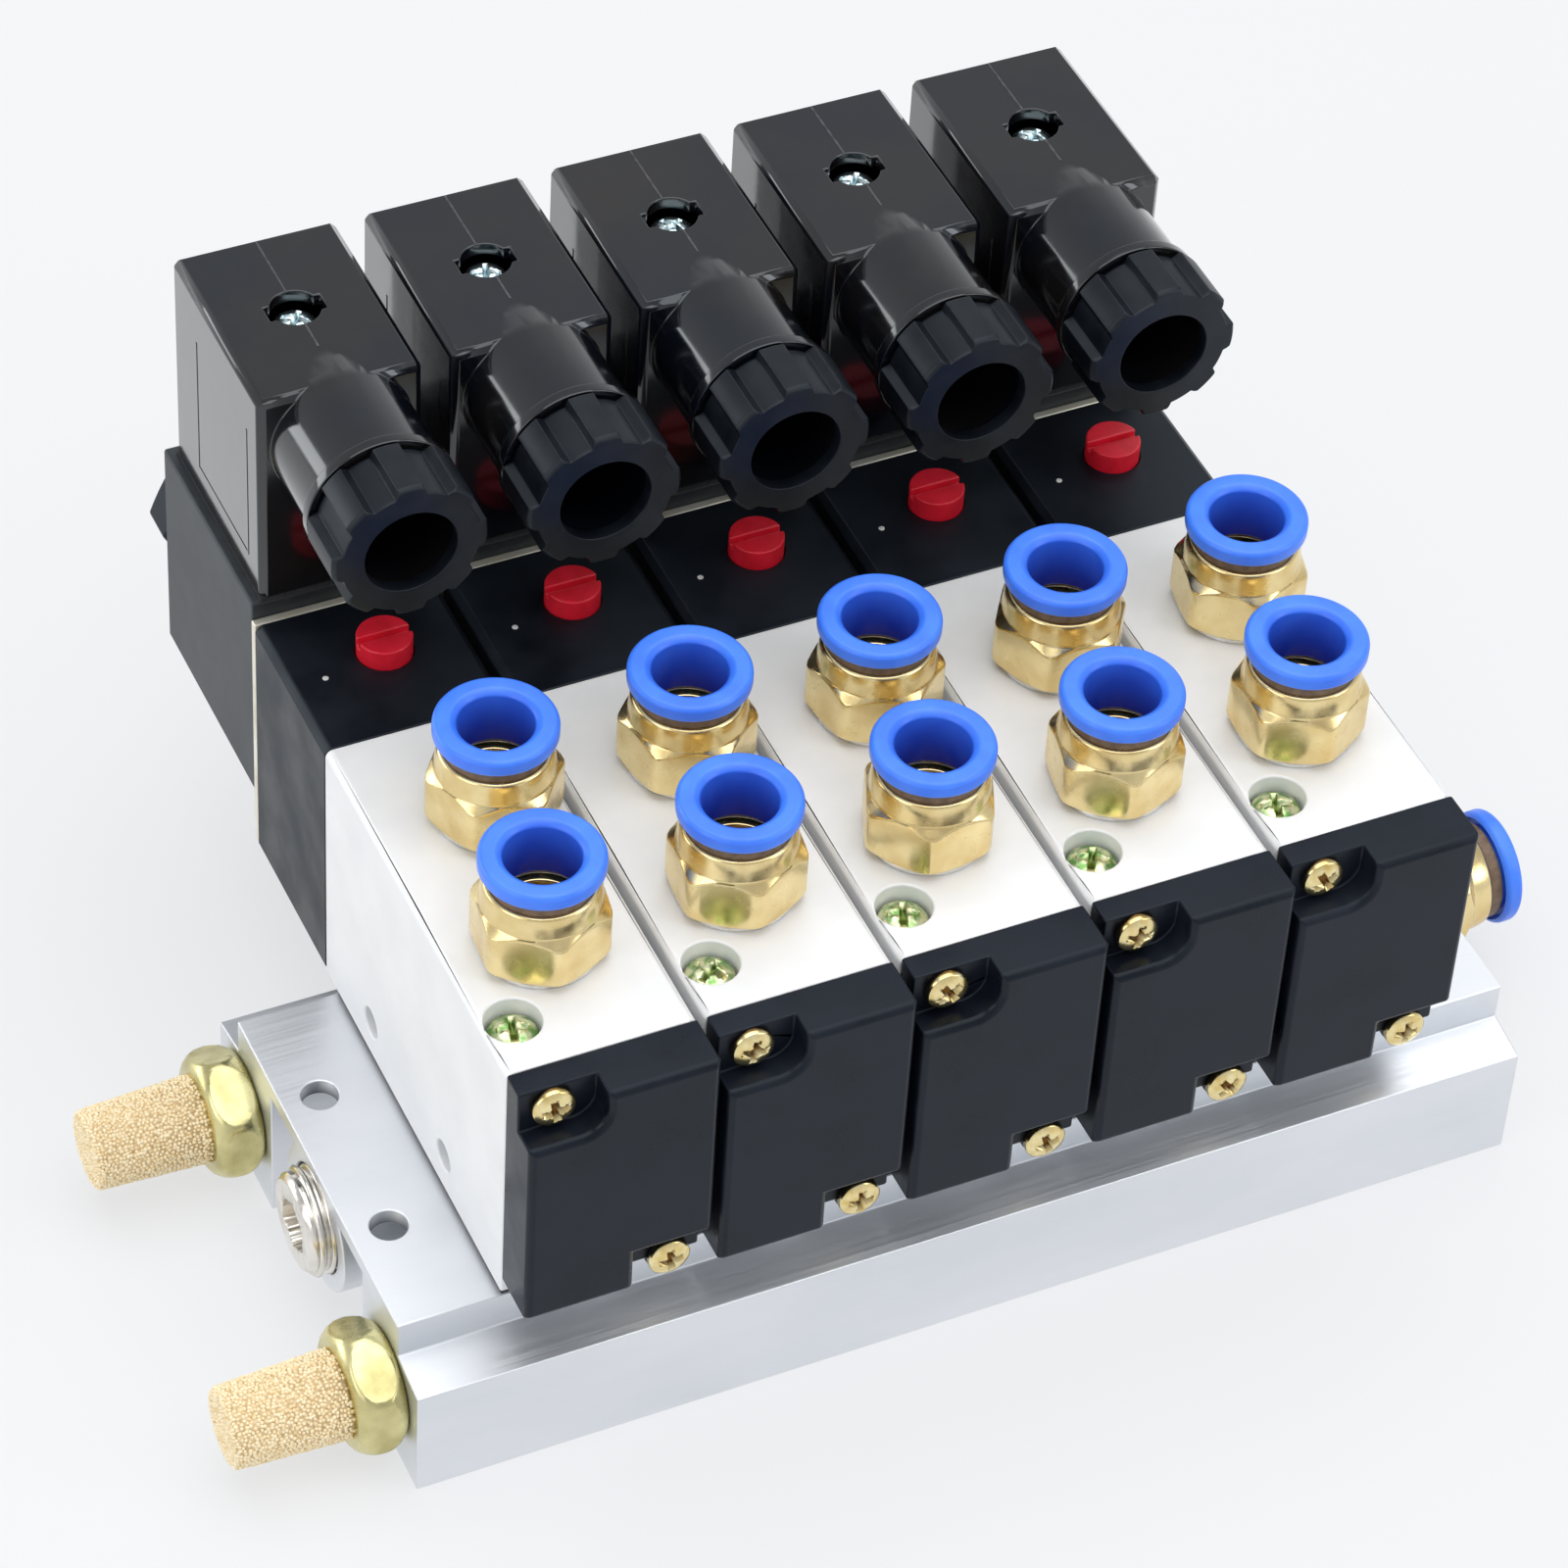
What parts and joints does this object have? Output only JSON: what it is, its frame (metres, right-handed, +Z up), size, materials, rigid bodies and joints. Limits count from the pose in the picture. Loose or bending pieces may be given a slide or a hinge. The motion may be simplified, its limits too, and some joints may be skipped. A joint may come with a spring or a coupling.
{
  "type": "solenoid valve manifold",
  "caption": "Row of single-coil solenoid valves with spring return on one extruded manifold base, with push-in tube ports, plug connectors and sintered silencers.",
  "frame": {"origin": "middle of the base's four mounting holes, on the top face of the extruded base that the valves stand on", "axes": "+X along the row of valves to the supply fitting, +Y from the end caps towards the coils, +Z up"},
  "size_m": [0.1716, 0.1183, 0.0911],
  "materials": {
    "bare_aluminium": "extruded and sawn, brushed",
    "silver_aluminium": "satin blasted and clear anodised",
    "black_plastic": "moulded, satin",
    "coil_resin": "moulded, matte",
    "connector_plastic": "moulded, glossy",
    "black_rubber": "moulded",
    "yoke_steel": "zinc plated, pale yellow",
    "steel": "turned",
    "zinc_screw": "yellow zinc plated",
    "nickel": "nickel plated",
    "brass": "turned, satin",
    "sintered_bronze": "sintered, porous",
    "blue_plastic": "moulded, glossy",
    "red_plastic": "moulded",
    "spring_steel": "drawn"
  },
  "bodies": {
    "manifold": {"manifold_base": "bare_aluminium", "body_gaskets": "black_rubber", "valve_bodies": "silver_aluminium", "end_caps": "black_plastic", "end_cap_screws": "zinc_screw", "mounting_screws": "zinc_screw", "spool_springs": "spring_steel", "pilot_heads": "black_plastic", "override_springs": "spring_steel", "coil_plates": "yoke_steel", "core_tubes": "steel", "armature_springs": "spring_steel", "coils": "coil_resin", "coil_nuts": "black_plastic", "terminal_blades": "brass", "connector_gaskets": "black_rubber", "terminal_blocks": "black_plastic", "connector_housings": "connector_plastic", "connector_screws": "nickel", "gland_nuts": "coil_resin", "fitting_bodies": "brass", "silencer_hexes": "brass", "silencer_elements": "sintered_bronze", "port_plugs": "nickel"},
    "spool_1": {"spool_1": "silver_aluminium"},
    "armature_1": {"armature_1": "steel"},
    "override_pin_1": {"override_pin_1": "brass"},
    "override_button_1": {"override_button_1": "red_plastic"},
    "spool_2": {"spool_2": "silver_aluminium"},
    "armature_2": {"armature_2": "steel"},
    "override_pin_2": {"override_pin_2": "brass"},
    "override_button_2": {"override_button_2": "red_plastic"},
    "spool_3": {"spool_3": "silver_aluminium"},
    "armature_3": {"armature_3": "steel"},
    "override_pin_3": {"override_pin_3": "brass"},
    "override_button_3": {"override_button_3": "red_plastic"},
    "spool_4": {"spool_4": "silver_aluminium"},
    "armature_4": {"armature_4": "steel"},
    "override_pin_4": {"override_pin_4": "brass"},
    "override_button_4": {"override_button_4": "red_plastic"},
    "spool_5": {"spool_5": "silver_aluminium"},
    "armature_5": {"armature_5": "steel"},
    "override_pin_5": {"override_pin_5": "brass"},
    "override_button_5": {"override_button_5": "red_plastic"},
    "release_collar_a1": {"release_collar_a1": "blue_plastic"},
    "release_collar_a2": {"release_collar_a2": "blue_plastic"},
    "release_collar_a3": {"release_collar_a3": "blue_plastic"},
    "release_collar_a4": {"release_collar_a4": "blue_plastic"},
    "release_collar_a5": {"release_collar_a5": "blue_plastic"},
    "release_collar_b1": {"release_collar_b1": "blue_plastic"},
    "release_collar_b2": {"release_collar_b2": "blue_plastic"},
    "release_collar_b3": {"release_collar_b3": "blue_plastic"},
    "release_collar_b4": {"release_collar_b4": "blue_plastic"},
    "release_collar_b5": {"release_collar_b5": "blue_plastic"},
    "release_collar_inlet": {"release_collar_inlet": "blue_plastic"}
  },
  "joints": [
    {"name": "spool_shift_1", "type": "slide", "parent": "manifold", "child": "spool_1", "axis": [0, -1, 0], "range_m": [0, 0.005], "stiffness_N_per_m": 900, "springref_m": -0.004, "deforming": ["spool_springs"]},
    {"name": "armature_pull_1", "type": "slide", "parent": "manifold", "child": "armature_1", "axis": [0, 1, 0], "range_m": [0, 0.001], "stiffness_N_per_m": 400, "springref_m": -0.003, "deforming": ["armature_springs"]},
    {"name": "override_press_1", "type": "slide", "parent": "manifold", "child": "override_pin_1", "axis": [0, 0, -1], "range_m": [0, 0.0015], "stiffness_N_per_m": 800, "springref_m": -0.002, "deforming": ["override_springs"]},
    {"name": "override_turn_1", "type": "hinge", "parent": "override_pin_1", "child": "override_button_1", "pos_m": [-0.0448, 0.0403, 0.03605], "axis": [0, 0, 1], "range_deg": [0, 90]},
    {"name": "spool_shift_2", "type": "slide", "parent": "manifold", "child": "spool_2", "axis": [0, -1, 0], "range_m": [0, 0.005], "stiffness_N_per_m": 900, "springref_m": -0.004, "deforming": ["spool_springs"]},
    {"name": "armature_pull_2", "type": "slide", "parent": "manifold", "child": "armature_2", "axis": [0, 1, 0], "range_m": [0, 0.001], "stiffness_N_per_m": 400, "springref_m": -0.003, "deforming": ["armature_springs"]},
    {"name": "override_press_2", "type": "slide", "parent": "manifold", "child": "override_pin_2", "axis": [0, 0, -1], "range_m": [0, 0.0015], "stiffness_N_per_m": 800, "springref_m": -0.002, "deforming": ["override_springs"]},
    {"name": "override_turn_2", "type": "hinge", "parent": "override_pin_2", "child": "override_button_2", "pos_m": [-0.0218, 0.0403, 0.03605], "axis": [0, 0, 1], "range_deg": [0, 90]},
    {"name": "spool_shift_3", "type": "slide", "parent": "manifold", "child": "spool_3", "axis": [0, -1, 0], "range_m": [0, 0.005], "stiffness_N_per_m": 900, "springref_m": -0.004, "deforming": ["spool_springs"]},
    {"name": "armature_pull_3", "type": "slide", "parent": "manifold", "child": "armature_3", "axis": [0, 1, 0], "range_m": [0, 0.001], "stiffness_N_per_m": 400, "springref_m": -0.003, "deforming": ["armature_springs"]},
    {"name": "override_press_3", "type": "slide", "parent": "manifold", "child": "override_pin_3", "axis": [0, 0, -1], "range_m": [0, 0.0015], "stiffness_N_per_m": 800, "springref_m": -0.002, "deforming": ["override_springs"]},
    {"name": "override_turn_3", "type": "hinge", "parent": "override_pin_3", "child": "override_button_3", "pos_m": [0.0012, 0.0403, 0.03605], "axis": [0, 0, 1], "range_deg": [0, 90]},
    {"name": "spool_shift_4", "type": "slide", "parent": "manifold", "child": "spool_4", "axis": [0, -1, 0], "range_m": [0, 0.005], "stiffness_N_per_m": 900, "springref_m": -0.004, "deforming": ["spool_springs"]},
    {"name": "armature_pull_4", "type": "slide", "parent": "manifold", "child": "armature_4", "axis": [0, 1, 0], "range_m": [0, 0.001], "stiffness_N_per_m": 400, "springref_m": -0.003, "deforming": ["armature_springs"]},
    {"name": "override_press_4", "type": "slide", "parent": "manifold", "child": "override_pin_4", "axis": [0, 0, -1], "range_m": [0, 0.0015], "stiffness_N_per_m": 800, "springref_m": -0.002, "deforming": ["override_springs"]},
    {"name": "override_turn_4", "type": "hinge", "parent": "override_pin_4", "child": "override_button_4", "pos_m": [0.0242, 0.0403, 0.03605], "axis": [0, 0, 1], "range_deg": [0, 90]},
    {"name": "spool_shift_5", "type": "slide", "parent": "manifold", "child": "spool_5", "axis": [0, -1, 0], "range_m": [0, 0.005], "stiffness_N_per_m": 900, "springref_m": -0.004, "deforming": ["spool_springs"]},
    {"name": "armature_pull_5", "type": "slide", "parent": "manifold", "child": "armature_5", "axis": [0, 1, 0], "range_m": [0, 0.001], "stiffness_N_per_m": 400, "springref_m": -0.003, "deforming": ["armature_springs"]},
    {"name": "override_press_5", "type": "slide", "parent": "manifold", "child": "override_pin_5", "axis": [0, 0, -1], "range_m": [0, 0.0015], "stiffness_N_per_m": 800, "springref_m": -0.002, "deforming": ["override_springs"]},
    {"name": "override_turn_5", "type": "hinge", "parent": "override_pin_5", "child": "override_button_5", "pos_m": [0.0472, 0.0403, 0.03605], "axis": [0, 0, 1], "range_deg": [0, 90]},
    {"name": "release_press_a1", "type": "slide", "parent": "manifold", "child": "release_collar_a1", "axis": [0, 0, -1], "range_m": [0, 0.001], "stiffness_N_per_m": 1200, "springref_m": -0.001},
    {"name": "release_press_a2", "type": "slide", "parent": "manifold", "child": "release_collar_a2", "axis": [0, 0, -1], "range_m": [0, 0.001], "stiffness_N_per_m": 1200, "springref_m": -0.001},
    {"name": "release_press_a3", "type": "slide", "parent": "manifold", "child": "release_collar_a3", "axis": [0, 0, -1], "range_m": [0, 0.001], "stiffness_N_per_m": 1200, "springref_m": -0.001},
    {"name": "release_press_a4", "type": "slide", "parent": "manifold", "child": "release_collar_a4", "axis": [0, 0, -1], "range_m": [0, 0.001], "stiffness_N_per_m": 1200, "springref_m": -0.001},
    {"name": "release_press_a5", "type": "slide", "parent": "manifold", "child": "release_collar_a5", "axis": [0, 0, -1], "range_m": [0, 0.001], "stiffness_N_per_m": 1200, "springref_m": -0.001},
    {"name": "release_press_b1", "type": "slide", "parent": "manifold", "child": "release_collar_b1", "axis": [0, 0, -1], "range_m": [0, 0.001], "stiffness_N_per_m": 1200, "springref_m": -0.001},
    {"name": "release_press_b2", "type": "slide", "parent": "manifold", "child": "release_collar_b2", "axis": [0, 0, -1], "range_m": [0, 0.001], "stiffness_N_per_m": 1200, "springref_m": -0.001},
    {"name": "release_press_b3", "type": "slide", "parent": "manifold", "child": "release_collar_b3", "axis": [0, 0, -1], "range_m": [0, 0.001], "stiffness_N_per_m": 1200, "springref_m": -0.001},
    {"name": "release_press_b4", "type": "slide", "parent": "manifold", "child": "release_collar_b4", "axis": [0, 0, -1], "range_m": [0, 0.001], "stiffness_N_per_m": 1200, "springref_m": -0.001},
    {"name": "release_press_b5", "type": "slide", "parent": "manifold", "child": "release_collar_b5", "axis": [0, 0, -1], "range_m": [0, 0.001], "stiffness_N_per_m": 1200, "springref_m": -0.001},
    {"name": "release_press_inlet", "type": "slide", "parent": "manifold", "child": "release_collar_inlet", "axis": [-1, 0, 0], "range_m": [0, 0.001], "stiffness_N_per_m": 1200, "springref_m": -0.001}
  ]
}
